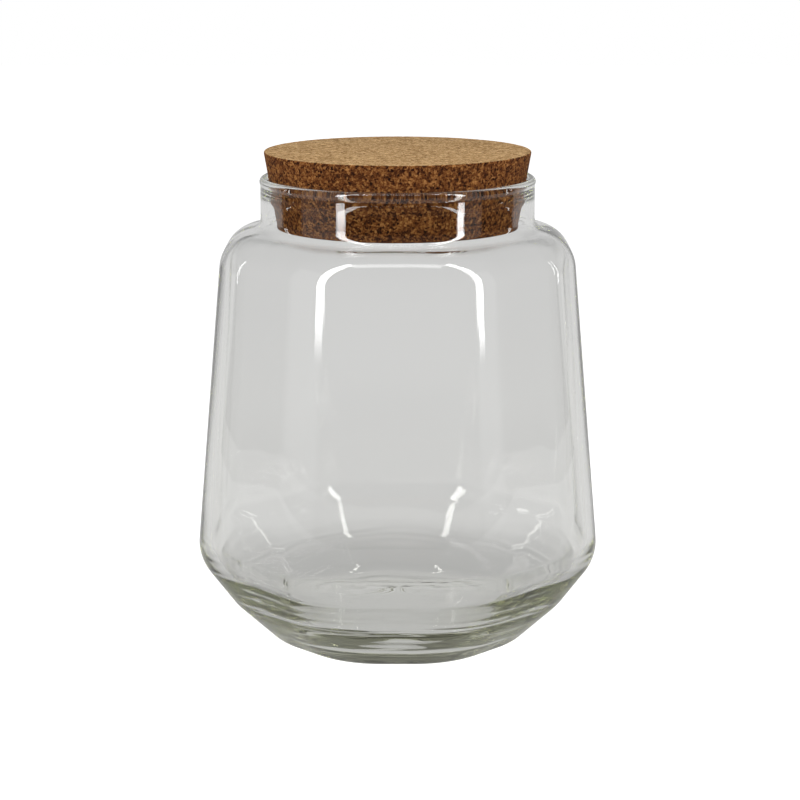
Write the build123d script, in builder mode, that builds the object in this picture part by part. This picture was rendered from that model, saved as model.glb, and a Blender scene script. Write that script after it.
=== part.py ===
from build123d import *

import os
from math import atan2, cos, hypot, pi, radians, sin, tan

os.makedirs("parts", exist_ok=True)

# A clear glass storage jar with a tapered cork stopper, in millimetres.
# The origin is the middle of the base, on the table. +Z is up and -Y is the front.

# Jar: heights, from the table up
jar_height = 176.8
lip_height = 3.4
neck_length = 18.5
shoulder_rise = 3.3
belly_height = 34.7
bowl_height = 16.1

# Jar: widths of the round neck, and across the eight flats below it
neck_dia = 102.8
shoulder_width = 130.8
belly_width = 152.3
bowl_width = 127.8
base_width = 93.6

# Jar: rounding of the corners between two flats
shoulder_corner_radius = 39.0
belly_corner_radius = 46.0
bowl_corner_radius = 52.0
base_corner_radius = 32.0

# Jar: rounding where the side turns from one slope to the next
neck_root_radius = 4.5
shoulder_radius = 14.0
belly_radius = 17.0
bowl_radius = 20.0
heel_radius = 9.5

# Jar: thickness of the glass, in the floor and the heel and then at each turn above
floor_wall = 8.5
heel_wall = 6.0
bowl_wall = 5.4
belly_wall = 3.6
shoulder_wall = 1.8
neck_wall = 1.6

# Jar: rounding inside the thick glass, from the floor up to the belly
floor_corner_radius = 12.0
inner_bowl_radius = 30.0
inner_belly_radius = 15.5

# Jar: fire-polished lip, the dome of the floor and the hollow under the base
lip_bulge_out = 0.3
lip_bulge_in = 1.55
floor_dome_dia = 60.0
floor_dome_rise = 1.0
hollow_dia = 74.0
hollow_depth = 1.8

# Stopper: a tapered cork that seats on the inside of the lip
stopper_length = 29.0
stopper_stand_out = 9.6
stopper_taper = 9.9
stopper_edge_radius = 0.6
seat_clearance = 0.05

# The jar has eight flats, a round keeps a little of each slope straight,
# and a ring whose corners take all but a little of its half width is round
flats = 8
flat_turn = 360 / flats
round_room_share = 0.95
round_ring_share = 0.98

# Heights and the outer profile, as radius and height, from the base up
lip_middle = jar_height - lip_height / 2
neck_root = jar_height - neck_length
shoulder_height = neck_root - shoulder_rise
outer_profile = [
    (base_width / 2, 0),
    (bowl_width / 2, bowl_height),
    (belly_width / 2, belly_height),
    (shoulder_width / 2, shoulder_height),
    (neck_dia / 2, neck_root),
    (neck_dia / 2, lip_middle),
]
outer_corners = [
    base_corner_radius,
    bowl_corner_radius,
    belly_corner_radius,
    shoulder_corner_radius,
    neck_dia / 2,
    neck_dia / 2,
]
outer_rounds = [heel_radius, bowl_radius, belly_radius, shoulder_radius, neck_root_radius]


# How far the profile turns at a corner, to the left if positive
def turn_at(before, corner, after):
    slope_in = atan2(corner[1] - before[1], corner[0] - before[0])
    slope_out = atan2(after[1] - corner[1], after[0] - corner[0])
    return (slope_out - slope_in + pi) % (2 * pi) - pi


# Where a corner of the profile lands when both its slopes move into the glass by a wall
def inside_corner(before, corner, after, wall):
    half_turn = turn_at(before, corner, after) / 2
    inward = atan2(corner[1] - before[1], corner[0] - before[0]) + half_turn + pi / 2
    depth = wall / cos(half_turn)
    return (corner[0] + depth * cos(inward), corner[1] + depth * sin(inward))


# Rounds that would meet on a short slope shrink together until they fit it
def fitted_rounds(profile, rounds):
    path = [(0, profile[0][1])] + profile
    reaches = [tan(abs(turn_at(*path[i : i + 3])) / 2) for i in range(len(rounds))] + [0]
    fitted = rounds + [0]
    for i in range(len(rounds)):
        (low_radius, low_height), (radius, height) = profile[i : i + 2]
        room = round_room_share * hypot(radius - low_radius, height - low_height)
        need = fitted[i] * reaches[i] + fitted[i + 1] * reaches[i + 1]
        if need > room:
            fitted[i] *= room / need
            fitted[i + 1] *= room / need
    return fitted[: len(rounds)]


# A round ring, or flats joined by corner arcs with the first flat square to +X
def ring_at(height, half_width, corner_radius):
    flat_half = (half_width - corner_radius) * tan(radians(flat_turn / 2))
    with BuildSketch(Plane.XY.offset(height)) as ring:
        if corner_radius < round_ring_share * half_width:
            with BuildLine():
                for side in range(flats):
                    turn = side * flat_turn
                    flat_start = Vector(half_width, -flat_half).rotate(Axis.Z, turn)
                    flat_end = Vector(half_width, flat_half).rotate(Axis.Z, turn)
                    corner = Vector(half_width - corner_radius, flat_half).rotate(Axis.Z, turn)
                    Line(flat_start, flat_end)
                    CenterArc(corner, corner_radius, turn, flat_turn)
            make_face()
        else:
            Circle(half_width)
    return ring.sketch


# Lofts between rings up the profile, each turn in the slope rounded
def blown_form(profile, corners, rounds):
    rings = []
    for (radius, height), corner_radius in zip(profile, corners):
        rings.append(ring_at(height, radius, corner_radius))
    with BuildPart() as form:
        for lower, upper in zip(rings, rings[1:]):
            loft([lower, upper], ruled=True)
        for (radius, height), round_radius in zip(profile, fitted_rounds(profile, rounds)):
            fillet(form.edges().filter_by_position(Axis.Z, height, height), radius=round_radius)
    return form.part


# Half of a shallow cap's section, to be turned about the axis
def cap_section(height, diameter, rise):
    with BuildSketch(Plane.XZ) as section:
        with BuildLine():
            cap = ThreePointArc((-diameter / 2, height), (0, height + rise), (diameter / 2, height))
            Line(cap @ 1, cap @ 0)
        make_face()
        split(bisect_by=Plane.YZ)
    return section.sketch


# The inside of the glass: the floor's corner lies along the heel, and each turn
# above it moves in by its wall
heel_slope = atan2(bowl_height, (bowl_width - base_width) / 2)
floor_radius = base_width / 2 + floor_wall / tan(heel_slope) - heel_wall / sin(heel_slope)
inner_profile = [(floor_radius, floor_wall)]
turn_walls = [bowl_wall, belly_wall, shoulder_wall, neck_wall]
for i, wall in enumerate(turn_walls):
    inner_profile.append(inside_corner(*outer_profile[i : i + 3], wall))
neck_bore = neck_dia - 2 * neck_wall
inner_profile.append((neck_bore / 2, lip_middle))
inner_corners = [
    floor_radius,
    bowl_corner_radius - bowl_wall,
    belly_corner_radius - belly_wall,
    shoulder_corner_radius - shoulder_wall,
    neck_bore / 2,
    neck_bore / 2,
]
inner_rounds = [
    floor_corner_radius,
    inner_bowl_radius,
    inner_belly_radius,
    shoulder_radius - shoulder_wall,
    neck_root_radius + neck_wall,
]

# Glass jar
lip_width = lip_bulge_in + neck_wall + lip_bulge_out
lip_outer_radius = neck_dia / 2 + lip_bulge_out
lip_bore_radius = neck_bore / 2 - lip_bulge_in

with BuildPart() as glass_jar:
    add(blown_form(outer_profile, outer_corners, outer_rounds))
    add(blown_form(inner_profile, inner_corners, inner_rounds), mode=Mode.SUBTRACT)
    with BuildSketch(Plane.XZ):
        with Locations((lip_outer_radius - lip_width / 2, lip_middle)):
            Ellipse(lip_width / 2, lip_height / 2)
    revolve(axis=Axis.Z)
    add(cap_section(floor_wall, floor_dome_dia, floor_dome_rise))
    revolve(axis=Axis.Z)
    add(cap_section(0, hollow_dia, hollow_depth))
    revolve(axis=Axis.Z, mode=Mode.SUBTRACT)

# Cork stopper: it narrows downwards, and is as wide as the bore where it meets the lip
taper_slope = tan(radians(stopper_taper))
seat_radius = lip_bore_radius - seat_clearance
stopper_top = jar_height + stopper_stand_out
stopper_bottom = stopper_top - stopper_length
stopper_top_radius = seat_radius + (stopper_top - lip_middle) * taper_slope
stopper_bottom_radius = seat_radius - (lip_middle - stopper_bottom) * taper_slope

with BuildPart() as cork_stopper:
    with BuildSketch(Plane.XZ):
        with BuildLine():
            Polyline(
                (0, stopper_bottom),
                (stopper_bottom_radius, stopper_bottom),
                (stopper_top_radius, stopper_top),
                (0, stopper_top),
                close=True,
            )
        make_face()
    revolve(axis=Axis.Z)
    fillet(cork_stopper.edges().filter_by(GeomType.CIRCLE), radius=stopper_edge_radius)

for piece, name in ((glass_jar, "glass_jar"), (cork_stopper, "cork_stopper")):
    piece.part.label = name
    export_step(piece.part, f"parts/{name}.step")
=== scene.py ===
from math import asin, atan2, cos, hypot, pi, radians, sin, sqrt, tan

import bpy
from mathutils import Matrix, Vector, noise


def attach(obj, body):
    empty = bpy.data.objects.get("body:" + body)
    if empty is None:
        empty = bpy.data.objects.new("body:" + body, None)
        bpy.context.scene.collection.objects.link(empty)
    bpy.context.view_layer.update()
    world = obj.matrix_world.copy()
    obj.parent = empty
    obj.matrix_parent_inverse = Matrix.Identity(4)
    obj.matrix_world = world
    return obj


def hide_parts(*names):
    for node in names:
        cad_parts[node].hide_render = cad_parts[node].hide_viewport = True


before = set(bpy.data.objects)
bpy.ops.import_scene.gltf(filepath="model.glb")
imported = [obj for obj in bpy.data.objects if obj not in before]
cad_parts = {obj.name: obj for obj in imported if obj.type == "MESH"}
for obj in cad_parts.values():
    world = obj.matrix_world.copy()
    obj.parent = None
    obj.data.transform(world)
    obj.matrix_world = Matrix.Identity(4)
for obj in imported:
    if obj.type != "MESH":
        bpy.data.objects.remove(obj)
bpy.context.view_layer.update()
print("frame loaded")


# Small helpers for node trees

def newMaterial(name):
    material = bpy.data.materials.new(name)
    material.use_nodes = True
    tree = material.node_tree
    tree.nodes.clear()
    return material, tree


# An output is linked to the socket, and anything else is set on it
def plug(tree, socket, value):
    if isinstance(value, bpy.types.NodeSocket):
        tree.links.new(value, socket)
    elif isinstance(value, tuple) and len(value) == 3 and socket.type == "RGBA":
        socket.default_value = (*value, 1)
    else:
        socket.default_value = value


# Inputs go by name, with _ for a space, or by place as i0, i1 and so on
def addNode(tree, kind, settings=None, **inputs):
    node = tree.nodes.new(kind)
    for key, value in (settings or {}).items():
        setattr(node, key, value)
    for key, value in inputs.items():
        byPlace = key[0] == "i" and key[1:].isdigit()
        plug(tree, node.inputs[int(key[1:]) if byPlace else key.replace("_", " ")], value)
    return node


def ramp(tree, factor, stops):
    node = tree.nodes.new("ShaderNodeValToRGB")
    elements = node.color_ramp.elements
    while len(elements) < len(stops):
        elements.new(0.5)
    for element, (place, colour) in zip(elements, stops):
        element.position = place
        element.color = (*colour, 1)
    tree.links.new(factor, node.inputs["Fac"])
    return node.outputs["Color"]


def mathNode(tree, operation, *values):
    node = tree.nodes.new("ShaderNodeMath")
    node.operation = operation
    for socket, value in zip(node.inputs, values):
        plug(tree, socket, value)
    return node.outputs[0]


def mixColour(tree, factor, first, second):
    node = tree.nodes.new("ShaderNodeMix")
    node.data_type = "RGBA"
    for place, value in ((0, factor), (6, first), (7, second)):
        plug(tree, node.inputs[place], value)
    return node.outputs[2]


def smoothStep(tree, value, low, high):
    settings = {"interpolation_type": "SMOOTHSTEP"}
    return addNode(tree, "ShaderNodeMapRange", settings, i0=value, i1=low, i2=high).outputs[0]


def objectPlace(tree):
    return addNode(tree, "ShaderNodeTexCoord").outputs["Object"]


# Rings of points that share a count become one smooth skin of quads
def skinFromRings(name, rings, lowPole, highPole):
    count = len(rings[0])
    points = [lowPole] + [p for ring in rings for p in ring] + [highPole]
    faces = []
    for j in range(count):
        faces.append((0, 1 + (j + 1) % count, 1 + j))
    for i in range(len(rings) - 1):
        low, high = 1 + i * count, 1 + (i + 1) * count
        for j in range(count):
            k = (j + 1) % count
            faces.append((low + j, low + k, high + k, high + j))
    last = 1 + (len(rings) - 1) * count
    for j in range(count):
        faces.append((last + j, last + (j + 1) % count, len(points) - 1))
    mesh = bpy.data.meshes.new(name)
    mesh.from_pydata([tuple(p) for p in points], [], faces)
    mesh.polygons.foreach_set("use_smooth", [True] * len(mesh.polygons))
    mesh.update()
    piece = bpy.data.objects.new(name, mesh)
    bpy.context.scene.collection.objects.link(piece)
    return piece


# The glass jar, in the same sizes as the model it covers, in metres

jarGlass = {
    "jarHeight": 0.1768,
    "lipHeight": 0.0034,
    "lipBulgeOut": 0.0003,
    "lipBulgeIn": 0.00155,
    "lipRunOut": 0.007,       # how far down the bead runs out into the neck
    "neckDia": 0.1028,
    "neckLength": 0.0185,
    "neckWall": 0.0016,
    "shoulderRise": 0.0033,
    "shoulderWidth": 0.1308,
    "shoulderWall": 0.0018,
    "bellyHeight": 0.0347,
    "bellyWidth": 0.1523,
    "bellyWall": 0.0036,
    "bowlHeight": 0.0161,
    "bowlWidth": 0.1278,
    "bowlWall": 0.0054,
    "baseWidth": 0.0936,
    "heelWall": 0.006,
    "floorWall": 0.0085,
    "floorDomeDia": 0.06,
    "floorDomeRise": 0.001,
    "hollowDia": 0.074,
    "hollowDepth": 0.0018,
    "cornerRadii": (0.032, 0.052, 0.046, 0.039),      # base, bowl, belly and shoulder
    "outerRounds": (0.0095, 0.020, 0.017, 0.014, 0.0045),
    "innerRounds": (0.012, 0.030, 0.0155, 0.0122, 0.0061),
    "flats": 8,
    "segments": 256,
    "roundRows": 18,
    "straightRows": 8,
    "lipRows": 24,
    "runOutRows": 16,
    "hollowRows": 12,
    "domeRows": 16,
    "waviness": 0.00010,      # how far blown glass wanders inside
    "waveScales": ((3.1, 14), (7, 30)),               # round the jar and up it
    "waveShares": (1, 0.5),
    "waveRows": (10, 12),     # rows under the lip before it starts, and until it is full
    "streakDepth": 0.0003,    # ripples round the inside of the thick glass, at the sides
    "streakFront": 0.35,      # share of them that is left in front and behind
    "streakReach": 1.5,       # belly heights over which they fade upwards
    "streakScale": 480,
    "streakTurns": 2.2,
    "refraction": 1.5,
    "glassTint": (0.667, 0.68, 0.48),
    "tintDensity": 15.0,
    "shadowTint": (0.88, 0.89, 0.87),
}


# Where a corner of the profile lands when both its slopes move into the glass by a wall
def insideCorner(before, corner, after, wall):
    slopeIn = atan2(corner[1] - before[1], corner[0] - before[0])
    slopeOut = atan2(after[1] - corner[1], after[0] - corner[0])
    halfTurn = ((slopeOut - slopeIn + pi) % (2 * pi) - pi) / 2
    inward = slopeIn + halfTurn + pi / 2
    depth = wall / cos(halfTurn)
    return (corner[0] + depth * cos(inward), corner[1] + depth * sin(inward))


# How far out a flat-sided ring of half width 1 lies at an angle; corner is the corner radius
def flatSidedReach(angle, corner, flats):
    half = pi / flats
    nearest = (int(angle // (2 * half)) + 0.5) * 2 * half
    off = abs(angle - nearest)
    middle = (1 - corner) / cos(half)
    arc = middle * cos(off) + sqrt(max(corner ** 2 - (middle * sin(off)) ** 2, 0))
    turned = atan2(arc * sin(off), arc * cos(off) - middle)
    return arc if turned <= half else 1 / cos(half - off)


# One line from point to point with each inner point rounded by its radius
def roundedLine(points, rounds, steps, spacing):
    line = [points[0]]
    for i in range(1, len(points) - 1):
        (px, py), (x, y), (nx, ny) = points[i - 1], points[i], points[i + 1]
        ux, uy = px - x, py - y
        vx, vy = nx - x, ny - y
        ul, vl = hypot(ux, uy), hypot(vx, vy)
        ux, uy, vx, vy = ux / ul, uy / ul, vx / vl, vy / vl
        opening = atan2(abs(ux * vy - uy * vx), ux * vx + uy * vy)
        back = rounds[i - 1] / tan(opening / 2)
        sx, sy = x + ux * back, y + uy * back
        ex, ey = x + vx * back, y + vy * back
        bx, by = ux + vx, uy + vy
        bl = hypot(bx, by)
        cx = x + bx / bl * rounds[i - 1] / sin(opening / 2)
        cy = y + by / bl * rounds[i - 1] / sin(opening / 2)
        first, last = atan2(sy - cy, sx - cx), atan2(ey - cy, ex - cx)
        sweep = (last - first + pi) % (2 * pi) - pi
        lastX, lastY = line[-1]
        for k in range(1, spacing):
            line.append((lastX + (sx - lastX) * k / spacing, lastY + (sy - lastY) * k / spacing))
        for k in range(steps + 1):
            a = first + sweep * k / steps
            line.append((cx + rounds[i - 1] * cos(a), cy + rounds[i - 1] * sin(a)))
    lastX, lastY = line[-1]
    ex, ey = points[-1]
    for k in range(1, spacing + 1):
        line.append((lastX + (ex - lastX) * k / spacing, lastY + (ey - lastY) * k / spacing))
    return line


# The inside corners, from the floor up to the lip
def insideOf(outer):
    j = jarGlass
    heelSlope = atan2(j["bowlHeight"], (j["bowlWidth"] - j["baseWidth"]) / 2)
    floorRadius = j["baseWidth"] / 2 + j["floorWall"] / tan(heelSlope) - j["heelWall"] / sin(heelSlope)
    inner = [(floorRadius, j["floorWall"])]
    for i, wall in enumerate((j["bowlWall"], j["bellyWall"], j["shoulderWall"], j["neckWall"])):
        inner.append(insideCorner(*outer[i + 1 : i + 4], wall))
    return inner


# The lip's bead, from the outside of the neck over the top and out along its inside
def lipLine(lipMiddle):
    j = jarGlass
    neckRadius = j["neckDia"] / 2
    half = (j["lipBulgeOut"] + j["neckWall"] + j["lipBulgeIn"]) / 2
    centre = neckRadius + j["lipBulgeOut"] - half
    tall = j["lipHeight"] / 2
    outerJoin = -asin(sqrt(1 - ((neckRadius - centre) / half) ** 2))
    line = []
    for k in range(j["lipRows"] + 1):
        a = outerJoin + (pi - outerJoin) * k / j["lipRows"]
        line.append((centre + half * cos(a), lipMiddle + tall * sin(a)))
    for k in range(1, j["runOutRows"] + 1):
        share = k / j["runOutRows"]
        r = neckRadius - j["neckWall"] - j["lipBulgeIn"] * (1 + cos(pi * share)) / 2
        line.append((r, lipMiddle - j["lipRunOut"] * share))
    return line


# Height of a shallow cap above its edge, at a distance from its middle
def capHeight(diameter, rise, r):
    ball = ((diameter / 2) ** 2 + rise ** 2) / (2 * rise)
    return rise - ball + sqrt(ball ** 2 - r ** 2)


# How far the inside of the blown glass stands off its smooth form
def unevenness(angle, r, z, ease):
    j = jarGlass
    wave = 0
    for share, (turns, rise), shift in zip(j["waveShares"], j["waveScales"], (0, 5)):
        wave += share * noise.noise(Vector((cos(angle) * turns, sin(angle) * turns, z * rise + shift)))
    deep = min(1, max(0, j["streakReach"] - z / j["bellyHeight"]))
    deep *= j["streakFront"] + (1 - j["streakFront"]) * cos(angle) ** 4
    turns = j["streakTurns"]
    streak = noise.noise(Vector((cos(angle) * turns, sin(angle) * turns, (r + z) * j["streakScale"])))
    return j["waviness"] * ease * wave + j["streakDepth"] * deep * streak


def buildJar():
    j = jarGlass
    lipMiddle = j["jarHeight"] - j["lipHeight"] / 2
    neckRoot = j["jarHeight"] - j["neckLength"]
    outer = [
        (j["hollowDia"] / 2, 0.0),
        (j["baseWidth"] / 2, 0.0),
        (j["bowlWidth"] / 2, j["bowlHeight"]),
        (j["bellyWidth"] / 2, j["bellyHeight"]),
        (j["shoulderWidth"] / 2, neckRoot - j["shoulderRise"]),
        (j["neckDia"] / 2, neckRoot),
        (j["neckDia"] / 2, lipMiddle),
    ]
    inner = insideOf(outer)
    lip = lipLine(lipMiddle)
    outer[-1] = lip[0]

    corners = [c / radius for c, (radius, height) in zip(j["cornerRadii"], outer[1:5])]
    walls = (j["bowlWall"], j["bellyWall"], j["shoulderWall"])
    innerCorners = [(c - wall) / r for c, wall, (r, z) in zip(j["cornerRadii"][1:], walls, inner[1:4])]

    meridians = []
    for s in range(j["segments"]):
        angle = 2 * pi * s / j["segments"]
        reach = [flatSidedReach(angle, c, j["flats"]) for c in corners]
        reachIn = [flatSidedReach(angle, c, j["flats"]) for c in innerCorners]
        outside = [(r * k, z) for (r, z), k in zip(outer, [1] + reach + [1, 1])]
        inside = [(r * k, z) for (r, z), k in zip(inner, [1] + reachIn + [1])]
        inside = [(j["floorDomeDia"] / 2, j["floorWall"])] + inside + [lip[-1]]
        line = []
        for k in range(1, j["hollowRows"]):
            r = j["hollowDia"] / 2 * k / j["hollowRows"]
            line.append((r, capHeight(j["hollowDia"], j["hollowDepth"], r)))
        line += roundedLine(outside, j["outerRounds"], j["roundRows"], j["straightRows"])
        lipRow = len(line) + len(lip) - 2
        line += lip[1:-1]
        line += roundedLine(inside[::-1], j["innerRounds"][::-1], j["roundRows"], j["straightRows"])
        for k in range(1, j["domeRows"]):
            r = j["floorDomeDia"] / 2 * (1 - k / j["domeRows"])
            line.append((r, j["floorWall"] + capHeight(j["floorDomeDia"], j["floorDomeRise"], r)))
        meridians.append(line)

    rings = []
    waveStart, waveGrowth = j["waveRows"]
    for i in range(len(meridians[0])):
        ring = []
        for s, line in enumerate(meridians):
            angle = 2 * pi * s / j["segments"]
            r, z = line[i]
            if i > lipRow + waveStart:
                (beforeR, beforeZ), (afterR, afterZ) = line[i - 1], line[min(i + 1, len(line) - 1)]
                step = hypot(afterR - beforeR, afterZ - beforeZ)
                push = unevenness(angle, r, z, min(1, (i - lipRow - waveStart) / waveGrowth))
                r, z = r - push * (afterZ - beforeZ) / step, z + push * (afterR - beforeR) / step
            ring.append((r * cos(angle), r * sin(angle), z))
        rings.append(ring)
    lowPole = (0, 0, j["hollowDepth"])
    highPole = (0, 0, j["floorWall"] + j["floorDomeRise"])
    return skinFromRings("jarGlass", rings, lowPole, highPole)


def glassFinish():
    j = jarGlass
    material, tree = newMaterial("clearBlownGlass")
    glass = addNode(tree, "ShaderNodeBsdfPrincipled", Base_Color=(1, 1, 1, 1), Roughness=0.0,
                    IOR=j["refraction"], Transmission_Weight=1.0)
    through = addNode(tree, "ShaderNodeBsdfTransparent", Color=j["shadowTint"])
    path = addNode(tree, "ShaderNodeLightPath")
    soft = mathNode(tree, "MAXIMUM", path.outputs["Is Shadow Ray"], path.outputs["Is Diffuse Ray"])
    mix = addNode(tree, "ShaderNodeMixShader", i0=soft, i1=glass.outputs[0], i2=through.outputs[0])
    body = addNode(tree, "ShaderNodeVolumeAbsorption", Color=j["glassTint"], Density=j["tintDensity"])
    out = addNode(tree, "ShaderNodeOutputMaterial")
    tree.links.new(mix.outputs[0], out.inputs["Surface"])
    tree.links.new(body.outputs[0], out.inputs["Volume"])
    return material


jar = buildJar()
jar.data.materials.append(glassFinish())
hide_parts("glass_jar")
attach(jar, "jar")
print("jar made,", len(jar.data.polygons), "faces")


# The cork stopper

corkStopper = {
    "topHeight": 0.1864,
    "length": 0.029,
    "topRadius": 0.05003,
    "bottomRadius": 0.04497,
    "edgeRound": 0.0006,
    "edgeRows": 4,
    "segments": 320,
    "sideRows": 34,
    "capRows": 44,
    "edgeShare": 0.985,       # the rows of the side start this far out
    "topShare": 0.98,
    "grainDepth": 0.00012,    # how far granules stand in and out
    "grainScales": (0.9, 2.1),
    "grainShares": (0.6, 0.4),
    "faceReach": 0.0001,      # what lies this near the top or underside is part of it
    "granule": 0.0015,        # length of a shred of bark
    "lyingShred": (0.8, 0.8, 1.9),
    "standingShred": (1.7, 1.7, 0.9),
    "crumb": 0.0007,
    "poreSpacing": 0.0016,    # dark pores between the shreds
    "poreSize": 0.34,
    "poreDepths": (0.55, 0.30),                       # at the side and on the top
    "bend": 0.0016,           # how far the shreds are bent
    "shredShare": 0.30,
    "crumbShare": 0.26,
    "fibreShare": 0.90,
    "toneShift": 0.24,
    "tones": (0.12, 0.34, 0.55, 0.82),
    "sideColours": (
        (0.004, 0.0013, 0.0004),
        (0.032, 0.008, 0.0018),
        (0.162, 0.054, 0.013),
        (0.46, 0.21, 0.064),
    ),
    "topColours": (
        (0.074, 0.0325, 0.010),
        (0.251, 0.135, 0.0465),
        (0.502, 0.313, 0.141),
        (0.78, 0.56, 0.307),
    ),
    "bumpHeight": 0.0004,
}


# How deep the cork's surface lies under its smooth form, by its granules
def grainAt(x, y, z):
    c = corkStopper
    here = Vector((x, y, z)) / c["granule"]
    coarse, fine = c["grainScales"]
    coarseShare, fineShare = c["grainShares"]
    depth = noise.noise(here * coarse) * coarseShare
    depth += noise.noise(here * fine + Vector((7, 3, 1))) * fineShare
    return min(depth, 0.0) * c["grainDepth"]


def buildCork():
    c = corkStopper
    low, high = c["topHeight"] - c["length"], c["topHeight"]
    bottomEdge, topEdge = c["bottomRadius"] * c["edgeShare"], c["topRadius"] * c["edgeShare"]
    profile = [(0, low), (c["bottomRadius"], low), (c["topRadius"], high), (0, high)]
    side = roundedLine(profile, (c["edgeRound"], c["edgeRound"]), c["edgeRows"], c["sideRows"])
    start = next(i for i, (r, z) in enumerate(side) if r > bottomEdge)
    stop = max(i for i, (r, z) in enumerate(side) if r > topEdge and z > low + c["length"] / 2)
    rows = [(bottomEdge * k / c["capRows"], low) for k in range(1, c["capRows"])]
    rows += side[start : stop + 1]
    for k in range(c["capRows"] - 1, 0, -1):
        rows.append((c["topRadius"] * c["topShare"] * k / c["capRows"], high))
    rings = []
    for r, z in rows:
        ring = []
        for s in range(c["segments"]):
            a = 2 * pi * s / c["segments"]
            x, y = r * cos(a), r * sin(a)
            depth = grainAt(x, y, z)
            if z > high - c["faceReach"]:
                ring.append((x, y, z + depth))
            elif z < low + c["faceReach"]:
                ring.append((x, y, z - depth))
            else:
                ring.append((x + depth * cos(a), y + depth * sin(a), z))
        rings.append(ring)
    return skinFromRings("corkStopper", rings, (0, 0, low), (0, 0, high))


# Random tones in cells that are stretched along one axis, as shreds of bark are
def shreds(tree, place, size, stretch):
    longer = addNode(tree, "ShaderNodeVectorMath", {"operation": "MULTIPLY"}, i0=place, i1=stretch)
    cells = addNode(tree, "ShaderNodeTexVoronoi", Vector=longer.outputs[0], Scale=1 / size, Randomness=1.0)
    return addNode(tree, "ShaderNodeSeparateColor", Color=cells.outputs["Color"]).outputs[0]


def corkFinish():
    c = corkStopper
    material, tree = newMaterial("sandedCork")
    place = objectPlace(tree)

    bend = addNode(tree, "ShaderNodeTexNoise", Vector=place, Scale=1.3 / c["granule"], Detail=3.0,
                   Roughness=0.6)
    bent = addNode(tree, "ShaderNodeVectorMath", {"operation": "MULTIPLY_ADD"}, i0=bend.outputs["Color"],
                   i1=(c["bend"],) * 3, i2=place).outputs[0]
    lying = shreds(tree, bent, c["granule"], c["lyingShred"])
    standing = shreds(tree, bent, c["granule"], c["standingShred"])
    either = addNode(tree, "ShaderNodeTexNoise", Vector=place, Scale=0.9 / c["granule"], Detail=0.0)
    choice = smoothStep(tree, either.outputs["Fac"], 0.46, 0.54)
    shred = mathNode(tree, "ADD", mathNode(tree, "MULTIPLY", lying, choice),
                     mathNode(tree, "MULTIPLY", standing, mathNode(tree, "SUBTRACT", 1.0, choice)))
    crumb = shreds(tree, bent, c["crumb"], (1.0, 1.0, 1.0))
    fibre = addNode(tree, "ShaderNodeTexNoise", Vector=bent, Scale=3.6 / c["granule"], Detail=4.0,
                    Roughness=0.75)
    tone = mathNode(tree, "MULTIPLY", shred, c["shredShare"])
    tone = mathNode(tree, "MULTIPLY_ADD", crumb, c["crumbShare"], tone)
    tone = mathNode(tree, "MULTIPLY_ADD", fibre.outputs["Fac"], c["fibreShare"], tone)
    tone = mathNode(tree, "SUBTRACT", tone, c["toneShift"])

    pores = addNode(tree, "ShaderNodeTexVoronoi", Vector=bent, Scale=1 / c["poreSpacing"])
    chosen = addNode(tree, "ShaderNodeSeparateColor", Color=pores.outputs["Color"]).outputs[2]
    poreEdge = mathNode(tree, "MULTIPLY", chosen, c["poreSize"])
    pore = mathNode(tree, "LESS_THAN", pores.outputs["Distance"], poreEdge)
    sideDepth, topDepth = c["poreDepths"]
    toneSide = mathNode(tree, "MULTIPLY", tone, mathNode(tree, "MULTIPLY_ADD", pore, -sideDepth, 1.0))
    toneTop = mathNode(tree, "MULTIPLY", tone, mathNode(tree, "MULTIPLY_ADD", pore, -topDepth, 1.0))
    side = ramp(tree, toneSide, list(zip(c["tones"], c["sideColours"])))
    top = ramp(tree, toneTop, list(zip(c["tones"], c["topColours"])))

    normal = addNode(tree, "ShaderNodeTexCoord").outputs["Normal"]
    facing = addNode(tree, "ShaderNodeSeparateXYZ", Vector=normal)
    isTop = addNode(tree, "ShaderNodeMapRange", i0=facing.outputs[2], i1=0.72, i2=0.92).outputs[0]
    colour = mixColour(tree, isTop, side, top)
    bump = addNode(tree, "ShaderNodeBump", Height=toneSide, Strength=0.6, Distance=c["bumpHeight"])
    cork = addNode(tree, "ShaderNodeBsdfPrincipled", Base_Color=colour, Roughness=0.85,
                   Specular_IOR_Level=0.1, Normal=bump.outputs[0])
    out = addNode(tree, "ShaderNodeOutputMaterial")
    tree.links.new(cork.outputs[0], out.inputs["Surface"])
    return material


cork = buildCork()
cork.data.materials.append(corkFinish())
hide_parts("cork_stopper")
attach(cork, "stopper")
print("cork made,", len(cork.data.polygons), "faces")


# Studio: a pale table and backdrop, soft lamps, and the camera

studio = {
    "floorSize": 6.0,
    "tableDrop": 0.00002,     # keeps the table clear of the glass that rests on it
    "backdrop": ((0.0, 0.64), (0.22, 0.58), (0.38, 0.24), (0.75, 0.22)),   # sine of the height, paleness
    "tableSeenWithPaintedShade": (            # metres from the jar's axis, paleness; the dip between 0.035 and 0.135 m is a painted shadow round the jar's foot
        (0.0, 0.62),
        (0.035, 0.58),
        (0.06, 0.46),
        (0.09, 0.49),
        (0.135, 0.71),
        (0.4, 0.71),
        (0.9, 0.67),
    ),
    "tablePaint": 0.60,
    "tableGlow": 0.85,
    "darkFrom": 0.55,         # how far in front of the jar the pale table ends
    "darkShare": 0.35,        # and how far to the back, as a share of the distance
    "darkRoom": 0.06,         # in front of the jar and at its sides
    "roomTurns": (0.3, 0.65),                         # where it pales towards the back
    "fill": 0.42,
    "bounces": 160,           # light goes round and round in thick glass
    "clearBounces": 16,
}

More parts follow.
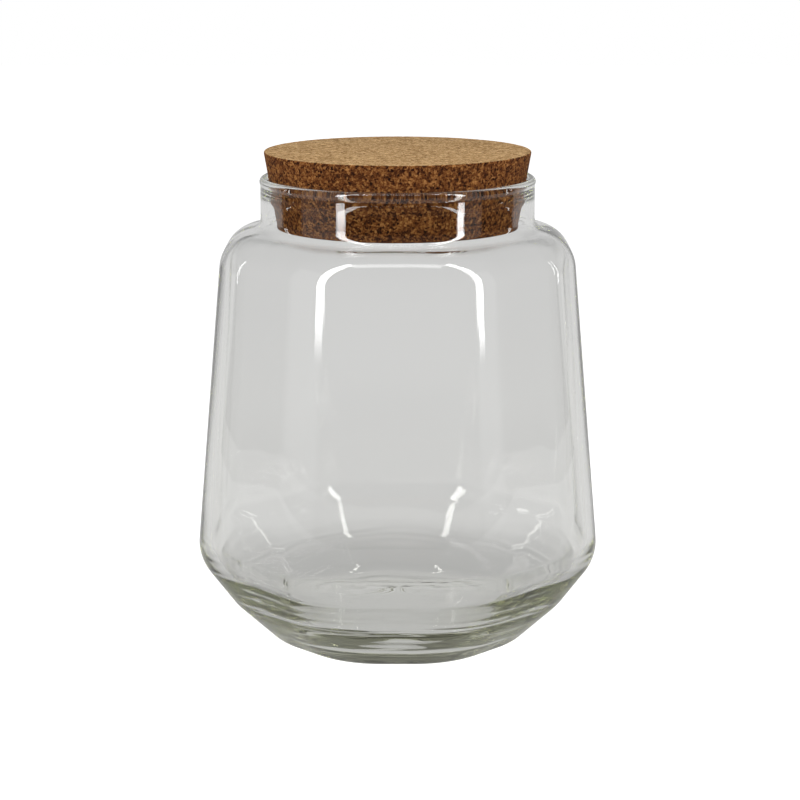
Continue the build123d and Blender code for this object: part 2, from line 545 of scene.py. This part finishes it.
# Azimuth, foot distance and height, top distance and height, width, brightness, fade at the foot
lamps = {
    "leftStrip": (-44.5, 0.36, 0.104, 0.20, 0.72, 0.046, 9.0, 0.026),
    "rightStrip": (50.0, 0.36, 0.103, 0.20, 0.70, 0.034, 12.5, 0.026),
    "leftBack": (-101.0, 0.48, 0.12, 0.43, 0.32, 0.014, 4.5, 0.0),
    "rightBack": (102.0, 0.48, 0.12, 0.43, 0.32, 0.014, 4.5, 0.0),
    "overhead": (0.0, 0.36, 0.95, 0.20, 1.02, 0.40, 2.1, 0.0),
    "leftGlow": (-64.0, 0.50, 0.0, 0.46, 0.50, 0.34, 0.25, 0.0),
    "rightGlow": (59.0, 0.50, 0.0, 0.46, 0.50, 0.20, 0.25, 0.0),
}


# The table takes the real shadow, and glass sees it with a painted shadow round the jar's foot, pale
# further out and dark far in front
def tableFinish():
    s = studio
    material, tree = newMaterial("paleTable")
    path = addNode(tree, "ShaderNodeLightPath")
    place = addNode(tree, "ShaderNodeSeparateXYZ", Vector=objectPlace(tree))
    reach = addNode(tree, "ShaderNodeVectorMath", {"operation": "LENGTH"}, i0=objectPlace(tree))
    reach = reach.outputs["Value"]
    far = mathNode(tree, "GREATER_THAN", reach, s["darkFrom"])
    darkEdge = mathNode(tree, "MULTIPLY", reach, s["darkShare"])
    inFront = mathNode(tree, "LESS_THAN", place.outputs[1], darkEdge)
    dark = mathNode(tree, "MULTIPLY", far, inFront)
    # Painted shade: to glass rays the table is darker in a ring round the jar's foot, set by distance from
    # the axis and not by the lamps
    glassViewWithPaintedShade = ramp(tree, reach, [(r, (k,) * 3) for r, k in s["tableSeenWithPaintedShade"]])
    inGlassWithPaintedShade = mixColour(tree, dark, glassViewWithPaintedShade, (0.0, 0.0, 0.0))
    glow = mixColour(tree, path.outputs["Is Camera Ray"], inGlassWithPaintedShade, (s["tableGlow"],) * 3)
    seen = mathNode(tree, "MAXIMUM", path.outputs["Is Camera Ray"], path.outputs["Is Transmission Ray"])
    seen = mathNode(tree, "MAXIMUM", seen, path.outputs["Is Glossy Ray"])
    light = addNode(tree, "ShaderNodeEmission", Color=glow, Strength=seen)
    direct = mathNode(tree, "MAXIMUM", path.outputs["Is Camera Ray"], path.outputs["Is Diffuse Ray"])
    paintColour = mixColour(tree, direct, (0.0, 0.0, 0.0), (s["tablePaint"],) * 3)
    paint = addNode(tree, "ShaderNodeBsdfDiffuse", Color=paintColour)
    both = addNode(tree, "ShaderNodeAddShader", i0=light.outputs[0], i1=paint.outputs[0])
    out = addNode(tree, "ShaderNodeOutputMaterial")
    tree.links.new(both.outputs[0], out.inputs["Surface"])
    return material


def buildTable():
    half, low = studio["floorSize"] / 2, -studio["tableDrop"]
    corners = [(-half, -half, low), (half, -half, low), (half, half, low), (-half, half, low)]
    mesh = bpy.data.meshes.new("table")
    mesh.from_pydata(corners, [], [(0, 1, 2, 3)])
    table = bpy.data.objects.new("table", mesh)
    bpy.context.scene.collection.objects.link(table)
    table.data.materials.append(tableFinish())


# White to the camera, pale behind and dark in front as the glass sees it
def buildAir():
    s = studio
    world = bpy.data.worlds.new("studioAir")
    bpy.context.scene.world = world
    world.use_nodes = True
    tree = world.node_tree
    tree.nodes.clear()
    path = addNode(tree, "ShaderNodeLightPath")
    way = addNode(tree, "ShaderNodeTexCoord").outputs["Generated"]
    way = addNode(tree, "ShaderNodeSeparateXYZ", Vector=way)
    toBack = smoothStep(tree, way.outputs[1], *s["roomTurns"])
    paleRoom = ramp(tree, way.outputs[2], [(h, (k,) * 3) for h, k in s["backdrop"]])
    beyond = mixColour(tree, toBack, (s["darkRoom"],) * 3, paleRoom)
    level = mixColour(tree, path.outputs["Is Diffuse Ray"], beyond, (s["fill"],) * 3)
    level = mixColour(tree, path.outputs["Is Camera Ray"], level, (1.0, 1.0, 1.0))
    back = addNode(tree, "ShaderNodeBackground", Color=level, Strength=1.0)
    out = addNode(tree, "ShaderNodeOutputWorld")
    tree.links.new(back.outputs[0], out.inputs["Surface"])


# A flat lamp that faces the jar and leans in, dimmed towards its foot where it has a fade
def buildLamp(name, azimuth, footAway, footHeight, topAway, topHeight, width, brightness, fade):
    a = radians(azimuth)
    foot = Vector((sin(a) * footAway, -cos(a) * footAway, footHeight))
    top = Vector((sin(a) * topAway, -cos(a) * topAway, topHeight))
    up = (top - foot).normalized()
    side = Vector((cos(a), sin(a), 0))
    length = (top - foot).length
    data = bpy.data.lights.new(name, "AREA")
    data.shape = "RECTANGLE"
    data.size, data.size_y = width, length
    data.energy = 4 * width * length * brightness
    if fade:
        data.use_nodes = True
        tree = data.node_tree
        place = addNode(tree, "ShaderNodeNewGeometry").outputs["Position"]
        height = addNode(tree, "ShaderNodeSeparateXYZ", Vector=place).outputs[2]
        dimmed = smoothStep(tree, height, footHeight, footHeight + fade)
        tree.links.new(dimmed, tree.nodes["Emission"].inputs["Strength"])
    lamp = bpy.data.objects.new(name, data)
    bpy.context.scene.collection.objects.link(lamp)
    lamp.matrix_world = Matrix((side, up, side.cross(up))).transposed().to_4x4()
    lamp.location = (foot + top) / 2


camera = {
    "distance": 0.8247,
    "height": 0.2772,
    "down": 12.74,
    "aside": 0.0009,
    "focal": 99.36,
}


def buildCamera():
    data = bpy.data.cameras.new("front")
    data.sensor_width = 36
    data.lens = camera["focal"]
    eye = bpy.data.objects.new("front", data)
    bpy.context.scene.collection.objects.link(eye)
    eye.location = (camera["aside"], -camera["distance"], camera["height"])
    eye.rotation_euler = (radians(90 - camera["down"]), 0, 0)
    bpy.context.scene.camera = eye


buildTable()
buildAir()
for name, values in lamps.items():
    buildLamp(name, *values)
buildCamera()
bpy.context.scene.view_settings.view_transform = "Standard"
cycles = bpy.context.scene.cycles
cycles.max_bounces = studio["bounces"]
cycles.transmission_bounces = studio["bounces"]
cycles.glossy_bounces = studio["bounces"]
cycles.transparent_max_bounces = studio["clearBounces"]
print("studio made")
